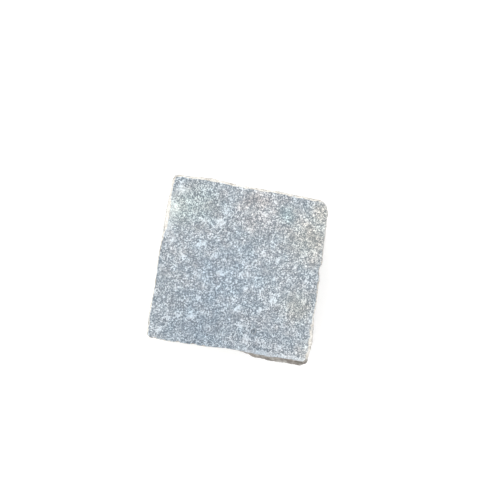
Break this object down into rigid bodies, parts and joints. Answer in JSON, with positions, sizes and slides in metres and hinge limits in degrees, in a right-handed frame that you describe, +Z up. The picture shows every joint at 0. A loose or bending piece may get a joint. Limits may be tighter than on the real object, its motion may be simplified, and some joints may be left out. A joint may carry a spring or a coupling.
{
  "type": "chalk block",
  "caption": "Small square block of pressed gymnastics chalk with a flat top and base, uneven chipped sides and pale lumps in it.",
  "frame": {"origin": "centre of the block's outline, in the plane of the base it rests on", "axes": "+Z up through the height, +X to the right and +Y to the back of the square face, so the broken step is at the front right"},
  "size_m": [0.051, 0.052, 0.04],
  "materials": {
    "pressed_chalk": "matte",
    "pale_lump": "matte"
  },
  "bodies": {
    "root": {"pressed_body": "pressed_chalk", "top_lumps": "pale_lump", "base_lumps": "pale_lump", "front_lumps": "pale_lump", "back_lumps": "pale_lump", "left_lumps": "pale_lump", "right_lumps": "pale_lump"}
  },
  "joints": []
}
